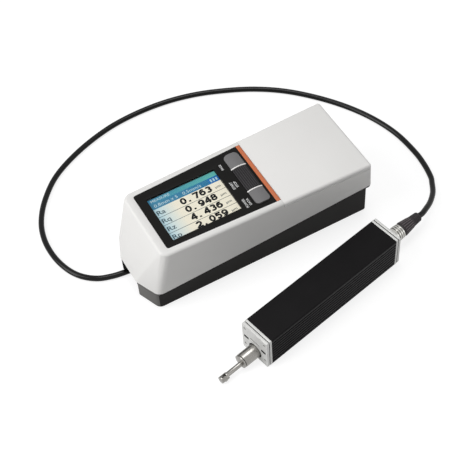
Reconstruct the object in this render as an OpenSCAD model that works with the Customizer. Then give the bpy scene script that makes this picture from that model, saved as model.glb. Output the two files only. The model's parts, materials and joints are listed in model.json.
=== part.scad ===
// Portable surface roughness tester: display unit, drive unit with detector, and the lead between them.
// Millimetres. +X runs to the rear of the display unit, +Y to its far side, +Z up from the table.
// The origin lies on the table, on the centre line of the display unit's drive bay.

/* [Display housing] */
// Height of the display unit
disp_h = 52; // [48:0.5:58]
// Width of the top cover at its rear end
disp_w_rear = 65.8; // [60:0.2:72]
// Width of the top cover at its front edge
disp_w_front = 57.8; // [54:0.2:60]
// Length from the origin to the rear end
rear_len = 80; // [76:0.5:95]
// Length from the origin to the front edge of the top
front_len = 71; // [70.6:0.2:82]
// Angle of the front slope from the table
slope_angle = 68; // [60:0.5:75]
// Angle in plan between the front and each front corner face
corner_turn = 22; // [15:0.5:26]
// Backward lean of each front corner face
corner_lean = 12.7; // [10:0.1:18]
// Radius between each front corner face and its side
corner_r = 6; // [3:0.2:8]
// Draft of the rear and side walls
draft = 1.5; // [0:0.1:3]
// Radius of the moulded outer edges
edge_r = 2; // [1:0.1:3]
// Wall of the top cover
shell_t = 2.4; // [1.8:0.1:3]
// Height of the parting line at the front
part_front = 15.5; // [14:0.1:17]
// Height of the parting line at the rear
part_rear = 32.5; // [26:0.1:34]
// Sag of the parting line below a straight line
part_sag = 0.6; // [0:0.1:2]

/* [Base] */
// Width of the base
base_w = 56.8; // [54:0.2:60]
// Wall and floor of the base
base_t = 2; // [1.6:0.1:3]
// Radius of the base's lower edges
base_r = 1.8; // [1:0.1:3]
// Radius of the base's front corners
base_corner_r = 5; // [3.5:0.1:6]
// Thickness of the rim under the cover
rim_t = 1.6; // [1:0.1:2.5]

/* [Drive bay] */
// Room around the drive unit in the bay
bay_clear = 0.5; // [0.3:0.1:1.5]
// Height of the front mouth for the detector
mouth_h = 15.7; // [14:0.1:18]

/* [Screen panel] */
// Thickness of the bezel
bezel_t = 1.4; // [1:0.1:2]
// Width of the bezel at its front edge
bezel_w_front = 48.8; // [46:0.2:52]
// Width of the bezel at its rear edge
bezel_w_rear = 54.6; // [53:0.2:56]
// Margin between the cover's front edge and the bezel
bezel_margin = 5.4; // [4.5:0.1:6]
// Radius of the bezel's front corners
bezel_r = 1.6; // [0.5:0.1:3]
// Length of the bezel
bezel_l = 77.3; // [76:0.1:82]
// Width of the orange trim strip
trim_w = 2.8; // [2:0.1:4]
// Length of the screen window
window_l = 49.4; // [44:0.2:52]
// Width of the screen window
window_w = 37.8; // [32:0.2:39]
// Offset of the screen window to the near side
window_y = 1.3; // [0:0.1:1.5]
// Distance from the bezel's front edge to the window
window_front = 6.3; // [5:0.1:9]
// Thickness of the screen window
window_t = 1.2; // [0.8:0.1:1.3]
// Thickness of the screen module
screen_t = 4.4; // [3:0.1:5]

/* [Key bar] */
// Width of the key bar across the bezel
bar_w = 11; // [8:0.1:12]
// Distance from each end of the key bar to the bezel's side
bar_margin = 3.9; // [3:0.1:6]
// Radius of the key bar's end corners
bar_end_r = 3.2; // [1:0.1:4.5]
// Distance from the key bar to the bezel's rear edge
bar_rear = 1.3; // [1:0.1:2]
// Share of the key bar that the middle key takes
middle_l = 20.2; // [16:0.2:24]
// Height of the keys' crown above the bezel
key_crown = 1; // [0.6:0.1:1.4]
// Thickness of the white dividers
divider_t = 0.9; // [0.6:0.1:1.4]
// Clearance around each key
key_clear = 0.25; // [0.15:0.05:0.4]
// Travel of the key bar's keys
key_travel = 0.7; // [0.4:0.1:1]

/* [Keypad and its sliding cover] */
// Height of the sliding cover's skirt
cover_skirt = 3.8; // [3:0.1:5]
// Thickness of the sliding cover
cover_t = 2; // [1.4:0.1:2.6]
// Gap under the sliding cover
cover_gap = 0.2; // [0.1:0.05:0.4]
// Travel of the sliding cover to the rear
cover_travel = 46; // [30:1:50]
// Side of a keypad key
pad_key = 7; // [5:0.2:8]
// Pitch of the keypad keys
pad_pitch = 9.4; // [9:0.1:11]
// Travel of the keypad keys
pad_travel = 0.4; // [0.3:0.05:0.45]
// Thickness of the keypad plate
pad_plate_t = 0.8; // [0.6:0.1:1]

/* [Drive unit] */
// Width of the drive unit
drive_w = 23; // [21:0.5:26]
// Height of the drive unit
drive_h = 26; // [25:0.5:30]
// Length of the drive unit's black case
drive_l = 110; // [106:1:125]
// Wall of the drive case
case_t = 1.8; // [1.4:0.1:2.2]
// Number of grooves along each side
groove_count = 8; // [4:1:8]
// Width of a groove
groove_w = 0.9; // [0.6:0.1:1.6]
// Depth of a groove
groove_d = 0.7; // [0.4:0.1:0.9]
// Pitch of the grooves
groove_pitch = 2.75; // [2:0.05:2.8]
// Thickness of the inner end flanges
flange_t = 1.6; // [1:0.1:2.5]
// Thickness of the outer end plates
plate_t = 2.4; // [1.8:0.1:3]
// How much smaller the outer end plates are all round
plate_step = 0.1; // [0:0.1:0.8]
// Width of the seam behind each outer end plate
plate_seam = 0.6; // [0.3:0.1:1]
// Place of the case's front end along X
drive_x = -39; // [-50:1:-20]
// Place of the case's front end along Y
drive_y = -90.5; // [-120:0.5:-75]
// Turn of the drive unit on the table
drive_yaw = 12.6; // [0:0.2:15]

/* [Detector] */
// Diameter of the detector tube
tube_d = 9.6; // [8:0.1:10]
// Length of tube that shows in front of the plate
tube_out = 11.1; // [10:0.1:16]
// Height of the tube's axis
tube_z = 7; // [6.8:0.1:9]
// Diameter of the nose rod
rod_d = 3.3; // [2.6:0.1:4]
// Length of the nose rod
rod_l = 11.2; // [8:0.1:16]
// Height of the nose rod's axis
rod_z = 4.6; // [4.4:0.1:5.2]
// Diameter of the nose head
head_d = 4.8; // [4:0.1:5.4]
// Length of the nose head
head_l = 5.3; // [4:0.1:8]
// Radial running clearance of shafts in their bores
run_fit = 0.08; // [0.03:0.01:0.1]
// Measuring travel of the detector
traverse = 17.5; // [10:0.5:17.5]

/* [Lead] */
// Diameter of the cord
cord_d = 4; // [3:0.1:5]
// Diameter of the plugs' coupling rings
ring_d = 10.8; // [9.5:0.1:12]
// Length of a coupling ring
ring_l = 9.5; // [8:0.5:14]
// Length of a boot
boot_l = 17; // [14:0.5:20]
// Diameter of a boot's narrow end
boot_d = 6.6; // [5.8:0.1:7.4]
// Height of the plugs' axis
plug_z = 11.5; // [11:0.1:13]
// Diameter of the sockets' barrels
socket_d = 8; // [7:0.1:8.4]
// Length of a socket's barrel in front of its wall
socket_out = 3.5; // [2:0.1:5]

/* [Hidden] */
fine = 64;
soft = 24;
touch = 0.01;
big = 400;

// Housing planes, each a unit normal and its distance from the origin
taper = atan((disp_w_rear - disp_w_front) / 2 / (rear_len + front_len));
top_front = [-front_len, -disp_w_front / 2, disp_h];
top_rear = [rear_len, -disp_w_rear / 2, disp_h];
shell_floor = 4;
corner_cut = 1.3;
p_top = plane([0, 0, 1], top_rear);
p_bottom = plane([0, 0, -1], [0, 0, shell_floor]);
p_rear = plane([1, 0, tan(draft)], top_rear);
p_side = plane([-sin(taper), -cos(taper), tan(draft)], top_rear);
p_slope = plane([-sin(slope_angle), 0, cos(slope_angle)], top_front);
p_corner = plane([
    -cos(corner_turn) * cos(corner_lean),
    -sin(corner_turn) * cos(corner_lean),
    sin(corner_lean)
], top_front + [corner_cut, 0, 0]);

// Screen panel
bezel_x0 = -front_len + bezel_margin;
bezel_x1 = bezel_x0 + bezel_l;
bezel_z = disp_h - bezel_t;
trim_x1 = bezel_x1 + trim_w;
ledge = 1.6;
window_x = bezel_x0 + window_front + window_l / 2;
screen_frame = 2.2;
screen_gap = 0.15;
bar_l = bezel_w_rear - 2 * bar_margin;
bar_x = bezel_x1 - bar_rear - bar_w / 2;
end_key_l = (bar_l - middle_l - 2 * divider_t) / 2 - 2 * key_clear;
key_flange = 0.7;
key_flange_t = 1;
key_foot = bezel_z - key_clear - key_flange_t - 1.55;
switch_h = 1.4;
key_board_t = 1.2;
key_board_z = key_foot - key_travel - 0.1 - switch_h - key_board_t;
key_board_l = bar_w + 6;

// Deck under the sliding cover
deck_z = disp_h - cover_skirt - cover_gap;
deck_t = 2.6;
deck_x0 = trim_x1 + 0.05;
pad_pocket = 1.4;
pad_x = deck_x0 + 27;
pad_l = 45;
pad_w = 48;
pad_r = 1;
pad_ledge = 1.2;
pad_flange = 0.7;
runner_y = disp_w_front / 2 - 2.4;
runner_w = 1.6;
runner_l = 9;
runner_x = deck_x0 + 5;
runner_depth = 1.4;

// Drive bay
bay_w = drive_w + 2 * bay_clear;
bay_h = drive_h + 2 * bay_clear;
bay_front = -front_len - 3.8;
bay_wall = 1.8;
drive_full = drive_l + 2 * (flange_t + plate_t);
bay_rear = bay_front + drive_full + 1.5;
base_rear = rear_len + 0.4;
base_front = front_len + 7.4;
base_top = disp_h - 10;
post_share = 0.58;
post_top = bay_h + bay_wall + post_share * (key_board_z - bay_h - bay_wall);
post_y = bay_w / 2 - 3;
post_x0 = bay_front + 34;
post_x1 = bay_rear - 6;
board_t = 1.6;
board_w = base_w - 9;
board_margin = 8;
chip_t = 1.4;
chip_w = 12;
boss_r = 3;
screw_r = 1.3;
screw_head_r = 2.5;
screw_head_h = 1.8;
screw_seat = 4;
screw_l = 9;
boss_points = [[-front_len + 5.7, 22.5], [rear_len - 8, 23.5]];

// Battery bay behind the drive bay
cell_gap = 2;
cell_x0 = bay_rear + bay_wall + cell_gap;
cell_d = (base_rear - base_t - cell_x0 - cell_gap) / 2;
cell_l = 38;
door_t = 1.4;
door_recess = 0.4;
door_lip = 1.2;
cell_z = base_t + 0.1 + cell_d / 2;
jack_d = 9;
jack_y = -15;
port_w = 14;
port_h = 6;
port_y = 8;
port_z = 22;
port_l = 8;

// Drive unit, in its own frame: x runs back from the case's front end
front_face = -flange_t - plate_t;
rear_face = drive_l + flange_t + plate_t;
bore_r = tube_d / 2 + 0.8;
screw_y = drive_w / 2 - 2.6;
shaft_z = tube_z + tube_d / 2 + 3.2;
guide_y = 6.4;
guide_r = 1.25;
screw_shaft_r = 1.5;
carriage_x = 22;
carriage_l = 14;
carriage_w = 17;
rail_w = 1.2;
rail_t = 0.8;
rail_z = drive_h - case_t - 2.8;
board_gap = 0.4;
carriage_top = rail_z - rail_t - 1.6;
mount_x = 64;
mount_t = 3;
gear_l = 12;
motor_l = 24;
motor_r = rail_z - shaft_z - board_gap;
inner_w = drive_w - 2 * (case_t + groove_d);
drive_board_t = 1.2;
drive_board_x0 = carriage_x + 8;
drive_board_end = 8;
drive_chip = [12, 10, 1.2];

// Detector, in the drive unit's frame
tube_front = front_face - tube_out;
tube_t = 0.8;
nose_cap = 1.4;
cap_groove = 0.5;
spigot_l = 1.2;
rod_front = tube_front - nose_cap - rod_l;
head_front = rod_front - head_l;
head_z = rod_z - 0.7;
slot_w = 1.7;
arm_r = 0.35;
rod_bore = 1;
pivot_x = tube_front + 3;
pivot_r = 0.5;
stylus_x = head_front + 2.4;
tip_z = 0.45;
skid_r = 1.1;

// Lead: route of the cord's centre line, on the table from the bay's mouth to the drive unit's plug
cord_r = cord_d / 2;
cord_sides = 10;
boot_end_bay = bay_rear - socket_out - ring_l - boot_l;
floor_z = 2.1;
cord_exit = [boot_end_bay, 0, plug_z];
cord_entry = on_drive_point([rear_face + socket_out + ring_l + boot_l, 0, plug_z]);
cord_lead_out = on_drive_point([rear_face + socket_out + ring_l + boot_l + 4, 0, plug_z - 0.3]);
cord_guides = concat([
    cord_exit,
    cord_exit - [9, 0, 0.6],
    [-24, 1.5, 8.5],
    [-42, 4, 5],
    [-60, 6.5, 2.7],
    [-74, 7.6, floor_z],
    [-84, 8.4, floor_z],
    [-94, 10, floor_z],
    [-104, 13.8, floor_z],
    [-112.5, 21.5, floor_z],
    [-118, 32, floor_z],
    [-121, 46, floor_z],
    [-120.6, 62, floor_z],
    [-116, 77.5, floor_z],
    [-106, 93.5, floor_z],
    [-90, 109.5, floor_z],
    [-67, 122, floor_z],
    [-41, 130.4, floor_z],
    [-17.5, 133.3, floor_z],
    [7, 132.4, floor_z],
    [30, 127.6, floor_z],
    [51, 119.5, floor_z],
    [71, 109, floor_z],
    [89, 95.5, floor_z],
    [105, 78.5, floor_z],
    [119, 59, floor_z],
    [129.4, 38.5, floor_z],
    [135.6, 17.5, floor_z],
    [137.2, -3, floor_z],
    [136.2, -17, floor_z],
    [133.5, -28.9, 2.4],
    [130.6, -34.7, 3],
    [126.7, -41.1, 4.2],
    [122.6, -45.9, 5.6],
    [116.7, -51.2, 7.6],
    [110.6, -55.3, 9.8]
], [cord_lead_out, cord_entry]);
cord_route = concat(
    [for (k = [0 : len(cord_guides) - 2], t = [0, 0.5]) between_guides(k, t)],
    [cord_entry]);

// Planes and their meeting points
function plane(n, point) = let (u = n / norm(n)) [u, u * point];
function meet(p, q, r, d) =
    ((p[1] - d[0]) * cross(q[0], r[0])
    + (q[1] - d[1]) * cross(r[0], p[0])
    + (r[1] - d[2]) * cross(p[0], q[0])) / (p[0] * cross(q[0], r[0]));
function mirrored(v) = [v[0], -v[1], v[2]];

// Height of the parting line at a place along X
part_x0 = -front_len - 14;
part_x1 = rear_len + 4;
function part_share(x) = (x - part_x0) / (part_x1 - part_x0);
function part_z(x) = part_front + (part_rear - part_front) * part_share(x)
    - 4 * part_sag * part_share(x) * (1 - part_share(x));

// A point of the smooth curve through the cord's guide points, at share t after point k
function between_guides(k, t) = let (
    last = len(cord_guides) - 1,
    b = cord_guides[k],
    c = cord_guides[k + 1],
    a = k > 0 ? cord_guides[k - 1] : 2 * b - c,
    d = k + 1 < last ? cord_guides[k + 2] : 2 * c - b
) b + t / 2 * (c - a + t * (2 * a - 5 * b + 4 * c - d + t * (3 * b - a - 3 * c + d)));

// A point of the drive unit's frame, placed on the table
function on_drive_point(p) = [
    drive_x + p[0] * cos(drive_yaw) - p[1] * sin(drive_yaw),
    drive_y + p[0] * sin(drive_yaw) + p[1] * cos(drive_yaw),
    p[2]
];

module on_drive() {
    translate([drive_x, drive_y, 0]) rotate([0, 0, drive_yaw]) children();
}

// Rectangle with round corners, centred
module round_rect(l, w, r) {
    square([l - 2 * r, w], center = true);
    square([l, w - 2 * r], center = true);
    for (sx = [-1, 1], sy = [-1, 1]) translate([sx * (l / 2 - r), sy * (w / 2 - r)]) circle(r, $fn = fine);
}

// Plate with round corners, standing on z
module slab(l, w, t, r) {
    linear_extrude(t) round_rect(l, w, r);
}

// Box between two corners
module block(low, high) {
    translate(low) cube(high - low);
}

// Cylinder along x from x0 to x1
module shaft(x0, x1, r) {
    translate([x0, 0, 0]) rotate([0, 90, 0]) cylinder(r = r, h = x1 - x0, $fn = fine);
}

// Disc with a round rim of radius r
module soft_disc(plan_r, r, sides) {
    reach = plan_r > r + touch ? plan_r - r : 0;
    rim = [for (k = [0 : sides / 2]) let (a = 360 * k / sides - 90) [reach + r * cos(a), r * sin(a)]];
    rotate_extrude($fn = sides) polygon(reach > 0 ? concat([[0, -r]], rim, [[0, r]]) : rim);
}

// Solid of the whole display housing, inset from its outer faces
module housing(inset, r, sides) {
    i = inset + r;
    front_r = max(corner_r - inset, r);
    f = inset + front_r;
    near = [
        [meet(p_top, p_rear, p_side, [i, i, i]), r],
        [meet(p_top, p_slope, p_corner, [i, i, i]), r],
        [meet(p_top, p_corner, p_side, [i, f, f]), front_r],
        [meet(p_bottom, p_rear, p_side, [i, i, i]), r],
        [meet(p_bottom, p_corner, p_side, [i, f, f]), front_r],
        [meet(p_bottom, p_corner, p_slope, [i, i, i]), r]
    ];
    hull() for (v = near) {
        translate(v[0]) soft_disc(v[1], r, sides);
        translate(mirrored(v[0])) soft_disc(v[1], r, sides);
    }
}

// Everything below the parting line, lowered by drop
module below_parting(drop) {
    steps = 12;
    line = [for (k = [0 : steps])
        let (x = part_x0 + (part_x1 - part_x0) * k / steps) [x, part_z(x) - drop]];
    translate([0, big / 2, 0]) rotate([90, 0, 0]) linear_extrude(big)
        polygon(concat(
            [[-big, -big / 4], [-big, part_front - drop]], line, [[big, part_rear - drop], [big, -big / 4]]));
}

// Solid of the base's tub, inset from its outer faces
module tub(inset, r, low) {
    i = inset + r;
    f = max(base_corner_r, i);
    corners = [
        [base_rear - i, base_w / 2 - i, r],
        [-base_front + f * (1 - sin(corner_turn)) / cos(corner_turn), base_w / 2 - f, f - inset],
        [-base_front - tan(corner_turn) * base_w / 2 + i / cos(corner_turn), 0, r]
    ];
    hull() for (c = corners, s = [-1, 1]) {
        translate([c[0], s * c[1], low + r]) soft_disc(c[2], r, soft);
        translate([c[0], s * c[1], base_top]) cylinder(r = c[2], h = 1, $fn = soft);
    }
}

// Points of a quarter circle that starts at angle a0
function quarter(x, y, r, a0) = [for (k = [0 : 6]) [x + r * cos(a0 + 15 * k), y + r * sin(a0 + 15 * k)]];

// Bezel outline, grown by a margin
module bezel_outline(grow) {
    f = bezel_w_front / 2 + grow - bezel_r;
    b = bezel_w_rear / 2 + grow;
    x0 = bezel_x0 - grow + bezel_r;
    x1 = bezel_x1 + grow;
    polygon(concat([[x1, -b], [x1, b]], quarter(x0, f, bezel_r, 90), quarter(x0, -f, bezel_r, 180)));
}

// Crowned bar across the bezel: a key or a divider, from y0 to y1
module crowned_bar(y0, y1, side_gap, z0, lift) {
    crown_r = (bar_w * bar_w / 4 + key_crown * key_crown) / (2 * key_crown);
    intersection() {
        block([bar_x - bar_w / 2 + side_gap, y0, z0], [bar_x + bar_w / 2 - side_gap, y1, disp_h + 2 * key_crown]);
        translate([bar_x, 0, z0]) slab(bar_w - 2 * side_gap, bar_l - 2 * side_gap, big, bar_end_r - side_gap);
        translate([bar_x, y0, disp_h + key_crown + lift - crown_r]) rotate([-90, 0, 0])
            cylinder(r = crown_r, h = y1 - y0, $fn = fine);
    }
}

module bar_key(y0, y1) {
    crowned_bar(y0, y1, key_clear, key_foot, 0);
    block(
        [bar_x - bar_w / 2 - key_flange, y0, bezel_z - key_clear - key_flange_t],
        [bar_x + bar_w / 2 + key_flange, y1, bezel_z - key_clear]);
}

divider_y = middle_l / 2 + key_clear;

module top_cover() {
    color("gainsboro") difference() {
        union() {
            difference() {
                housing(0, edge_r, soft);
                intersection() {
                    housing(shell_t, 0.6, 8);
                    union() {
                        block([-big, -big, -big], [deck_x0 - shell_t, big, big]);
                        block([-big, -big, -big], [big, big, deck_z - deck_t]);
                    }
                }
            }
            intersection() {
                housing(shell_t / 2, 0.6, 8);
                for (p = boss_points, s = [-1, 1])
                    translate([p[0], s * p[1], part_z(p[0]) - rim_t - 1.5]) cylinder(r = boss_r, h = big, $fn = fine);
            }
        }
        difference() {
            below_parting(0);
            for (p = boss_points, s = [-1, 1])
                translate([p[0], s * p[1], part_z(p[0]) - rim_t - 1.5]) cylinder(r = boss_r, h = rim_t + 3, $fn = fine);
        }
        block([deck_x0, -big, deck_z], [big, big, big]);
        translate([0, 0, bezel_z]) linear_extrude(big) bezel_outline(0);
        translate([0, 0, deck_z - deck_t]) linear_extrude(big) bezel_outline(-ledge);
        block(
            [bar_x - bar_w / 2 - ledge, -bar_l / 2 - ledge, deck_z - deck_t],
            [bezel_x1 - 0.2, bar_l / 2 + ledge, big]);
        block([bezel_x1 - touch, -bezel_w_rear / 2, bezel_z], [trim_x1 + 1, bezel_w_rear / 2, big]);
        block([-big, -bay_w / 2, -big], [-front_len + 6.2, bay_w / 2, mouth_h]);
        translate([pad_x, 0, deck_z - pad_pocket]) slab(pad_l, pad_w, big, pad_r);
        translate([pad_x, 0, 0]) slab(pad_l - 2 * pad_ledge, pad_w - 2 * pad_ledge, deck_z, pad_r);
        for (s = [-1, 1]) block(
            [runner_x - 0.5, s * runner_y - runner_w / 2 - key_clear, deck_z - runner_depth - key_clear],
            [runner_x + runner_l + cover_travel + 0.5, s * runner_y + runner_w / 2 + key_clear, big]);
        for (p = boss_points, s = [-1, 1])
            translate([p[0], s * p[1], 0]) cylinder(r = screw_r, h = part_z(p[0]) + screw_l, $fn = fine);
    }
}

module base() {
    tunnel = [bay_w / 2 + bay_wall, bay_h + bay_wall];
    color([0.16, 0.16, 0.16]) difference() {
        union() {
            difference() {
                intersection() {
                    tub(0, base_r, 0);
                    below_parting(0);
                }
                difference() {
                    tub(base_t, 1, base_t);
                    block([-big, -tunnel[0], -big], [bay_rear + bay_wall, tunnel[0], big]);
                    for (p = boss_points, s = [-1, 1])
                        translate([p[0], s * p[1], 0]) cylinder(r = boss_r, h = big, $fn = fine);
                }
            }
            difference() {
                intersection() {
                    housing(0.3, edge_r, soft);
                    below_parting(0);
                }
                below_parting(rim_t);
                tub(base_t, 1, base_t);
            }
            intersection() {
                housing(shell_t + 0.3, 0.6, 8);
                block([-big, -tunnel[0], base_t], [bay_rear + bay_wall, tunnel[0], tunnel[1]]);
            }
            for (x = [post_x0, post_x1], s = [-1, 1]) translate([x, s * post_y, tunnel[1] - touch])
                cylinder(r = 2, h = post_top - tunnel[1] + touch, $fn = fine);
        }
        block([bay_front, -bay_w / 2, -1], [bay_rear, bay_w / 2, bay_h]);
        block([-big, -bay_w / 2, -1], [bay_front + 1, bay_w / 2, big]);
        for (p = boss_points, s = [-1, 1]) translate([p[0], s * p[1], 0]) {
            translate([0, 0, part_z(p[0]) - rim_t - 1.5]) cylinder(r = boss_r + 0.05, h = big, $fn = fine);
            translate([0, 0, -1]) cylinder(r = screw_r + 0.2, h = big, $fn = fine);
            translate([0, 0, -1]) cylinder(
                r = screw_head_r + 0.3, h = 1 + part_z(p[0]) - rim_t - 1.5 - screw_seat, $fn = fine);
        }
        translate([bay_rear - 1, 0, plug_z]) shaft(0, bay_wall + 2, socket_d / 2);
        door_opening(0, -1, door_recess + door_t);
        door_opening(-door_lip, -1, base_t + 1);
        translate([base_rear - base_t - 1, jack_y, port_z]) shaft(0, big, jack_d / 2);
        block([base_rear - base_t - 1, port_y - port_w / 2, port_z - port_h / 2],
            [big, port_y + port_w / 2, port_z + port_h / 2]);
    }
}

// Opening of the battery door, from z0 to z1
module door_opening(grow, z0, z1) {
    l = base_rear - base_t - 3 - cell_x0;
    translate([cell_x0 + l / 2, 0, z0]) slab(l + 2 * grow, cell_l - 4 + 2 * grow, z1 - z0, 2);
}

module bezel() {
    color([0.1, 0.09, 0.09]) difference() {
        union() {
            translate([0, 0, bezel_z]) linear_extrude(bezel_t) bezel_outline(-0.05);
            for (s = [-1, 1]) translate([bar_x - bar_w / 2 - 3, s * 16, key_board_z + key_board_t])
                cylinder(r = 1.2, h = bezel_z - key_board_z - key_board_t + touch, $fn = fine);
        }
        translate([window_x, -window_y, bezel_z - 1]) slab(window_l, window_w, big, 0.6);
        translate([bar_x, 0, bezel_z - 1]) slab(bar_w, bar_l, big, bar_end_r);
    }
}

module screen_window() {
    color([0.75, 0.85, 0.9, 0.4]) translate([window_x, -window_y, bezel_z])
        slab(window_l - 0.1, window_w - 0.1, window_t, 0.6);
}

module screen_module() {
    color([0.5, 0.52, 0.55]) translate([window_x, -window_y, bezel_z - screen_gap - screen_t])
        slab(window_l + 2 * screen_frame, window_w + 2 * screen_frame, screen_t, 1);
}

module trim_strip() {
    color([0.9, 0.45, 0.25]) block(
        [bezel_x1 + 0.05, -bezel_w_rear / 2 + 0.05, bezel_z],
        [trim_x1 - 0.05, bezel_w_rear / 2 - 0.05, disp_h + 0.3]);
}

module upper_key() {
    color([0.45, 0.45, 0.46]) bar_key(divider_y + divider_t + key_clear, bar_l / 2 - key_clear);
}

module middle_key() {
    color([0.23, 0.22, 0.23]) bar_key(-middle_l / 2, middle_l / 2);
}

module lower_key() {
    color([0.45, 0.45, 0.46]) bar_key(-bar_l / 2 + key_clear, -divider_y - divider_t - key_clear);
}

module key_dividers() {
    color("white") for (s = [-1, 1]) {
        y0 = s > 0 ? divider_y : -divider_y - divider_t;
        crowned_bar(y0, y0 + divider_t, 0, bezel_z - 0.2, 0.1);
    }
}

module key_board() {
    color([0.1, 0.35, 0.2]) {
        block(
            [bar_x - bar_w / 2 - 5, -bar_l / 2, key_board_z],
            [bar_x - bar_w / 2 - 5 + key_board_l, bar_l / 2, key_board_z + key_board_t]);
        for (y = [-(middle_l + end_key_l) / 2 - divider_t, 0, (middle_l + end_key_l) / 2 + divider_t])
            translate([bar_x, y, key_board_z + key_board_t]) {
                translate([-3, -3, 0]) cube([6, 6, switch_h - 0.5]);
                cylinder(r = 1.6, h = switch_h, $fn = fine);
            }
    }
}

module key_cover() {
    color("gainsboro") difference() {
        housing(0, edge_r, soft);
        block([-big, -big, -big], [big, big, deck_z + cover_gap]);
        block([-big, -big, -big], [deck_x0 + 0.15, big, big]);
        intersection() {
            housing(cover_t, 0.6, 8);
            block([-big, -big, -big], [big, big, disp_h - cover_t]);
        }
    }
}

module slide_runners() {
    color([0.3, 0.3, 0.3]) for (s = [-1, 1]) block(
        [runner_x, s * runner_y - runner_w / 2, deck_z - runner_depth],
        [runner_x + runner_l, s * runner_y + runner_w / 2, disp_h - cover_t - cover_gap]);
}

// Places of the keypad's keys: a cursor cross round one key, and a row behind it
function pad_place(col, row) = [pad_x + row * pad_pitch, col * pad_pitch, 0];
up_place = pad_place(0, -1.7);
down_place = pad_place(0, 0.3);
left_place = pad_place(-1, -0.7);
right_place = pad_place(1, -0.7);
enter_place = pad_place(0, -0.7);
menu_place = pad_place(1.3, 1.7);
page_place = pad_place(0, 1.7);
escape_place = pad_place(-1.3, 1.7);
pad_places = [
    up_place, down_place, left_place, right_place, enter_place, menu_place, page_place, escape_place
];
pad_top = deck_z - 0.1;
pad_plate_z = deck_z - pad_pocket;

module pad_key_at(place) {
    translate(place) {
        translate([0, 0, pad_plate_z - pad_travel - 0.8]) slab(pad_key, pad_key, pad_top - pad_plate_z + pad_travel + 0.8, pad_r);
        translate([0, 0, pad_plate_z - 1]) slab(
            pad_key + 2 * pad_flange, pad_key + 2 * pad_flange, 0.8, pad_r);
    }
}

module keypad_plate() {
    color([0.2, 0.2, 0.21]) difference() {
        translate([pad_x, 0, pad_plate_z]) slab(pad_l - 0.1, pad_w - 0.1, pad_plate_t, pad_r);
        for (p = pad_places) translate([p[0], p[1], 0])
            slab(pad_key + 2 * key_clear, pad_key + 2 * key_clear, disp_h, pad_r + key_clear);
    }
}

module cursor_up_key() {
    color([0.6, 0.6, 0.62]) pad_key_at(up_place);
}

module cursor_down_key() {
    color([0.6, 0.6, 0.62]) pad_key_at(down_place);
}

module cursor_left_key() {
    color([0.6, 0.6, 0.62]) pad_key_at(left_place);
}

module cursor_right_key() {
    color([0.6, 0.6, 0.62]) pad_key_at(right_place);
}

module enter_key() {
    color([0.9, 0.5, 0.3]) pad_key_at(enter_place);
}

module menu_key() {
    color([0.6, 0.6, 0.62]) pad_key_at(menu_place);
}

module page_key() {
    color([0.6, 0.6, 0.62]) pad_key_at(page_place);
}

module escape_key() {
    color([0.6, 0.6, 0.62]) pad_key_at(escape_place);
}

module main_board() {
    color([0.1, 0.4, 0.25]) {
        block(
            [post_x0 - board_margin, -board_w / 2, post_top],
            [post_x1 + board_margin, board_w / 2, post_top + board_t]);
        for (x = [post_x0, (post_x0 + post_x1) / 2, post_x1], s = [-1, 1])
            translate([x - chip_w / 2, s * board_w / 4 - chip_w / 2, post_top + board_t - touch])
                cube([chip_w, chip_w, chip_t]);
    }
}

module battery_pack() {
    color([0.25, 0.35, 0.6]) hull() for (k = [0, 1])
        translate([cell_x0 + cell_d * (k + 0.5), cell_l / 2, cell_z]) rotate([90, 0, 0])
            cylinder(d = cell_d, h = cell_l, $fn = fine);
}

module battery_door() {
    color([0.16, 0.16, 0.16]) door_opening(-0.1, door_recess, door_recess + door_t);
}

module case_screws() {
    color("silver") for (p = boss_points, s = [-1, 1])
        translate([p[0], s * p[1], part_z(p[0]) - rim_t - 1.5 - screw_seat]) {
            translate([0, 0, -screw_head_h]) difference() {
                cylinder(r = screw_head_r, h = screw_head_h, $fn = fine);
                for (a = [0, 90]) rotate([0, 0, a]) translate([-1.6, -0.35, -1]) cube([3.2, 0.7, 1.9]);
            }
            cylinder(r = screw_r, h = screw_l, $fn = fine);
        }
}

module power_jack() {
    color([0.1, 0.1, 0.1]) translate([0, jack_y, port_z]) {
        difference() {
            shaft(base_rear - port_l, base_rear - 0.3, jack_d / 2 - 0.1);
            shaft(base_rear - port_l + 1, base_rear, jack_d / 2 - 1.6);
        }
        shaft(base_rear - port_l + 0.5, base_rear - 1.5, 0.9);
    }
}

module data_port() {
    color([0.1, 0.1, 0.1]) difference() {
        block([base_rear - port_l, port_y - port_w / 2 + 0.1, port_z - port_h / 2 + 0.1],
            [base_rear - 0.3, port_y + port_w / 2 - 0.1, port_z + port_h / 2 - 0.1]);
        block([base_rear - port_l + 1.5, port_y - port_w / 2 + 1.2, port_z - port_h / 2 + 1.2],
            [base_rear, port_y + port_w / 2 - 1.2, port_z + port_h / 2 - 1.2]);
    }
}

// Round socket whose barrel stands out of a wall towards +x, with the wall's face at x = 0
module socket_body(depth) {
    shaft(-depth, socket_out, socket_d / 2 - 0.05);
    shaft(-depth - 1.5, -depth, socket_d / 2 + 1);
}

// Coupling ring of a plug, grown along +x from the socket
module ring_body() {
    shaft(0, ring_l, ring_d / 2 - 0.9);
    shaft(0, ring_l * 0.4, ring_d / 2 - 0.1);
    for (k = [0 : 2]) shaft(ring_l * (0.46 + 0.18 * k), ring_l * (0.58 + 0.18 * k), ring_d / 2 - 0.1 * k);
}

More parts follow.
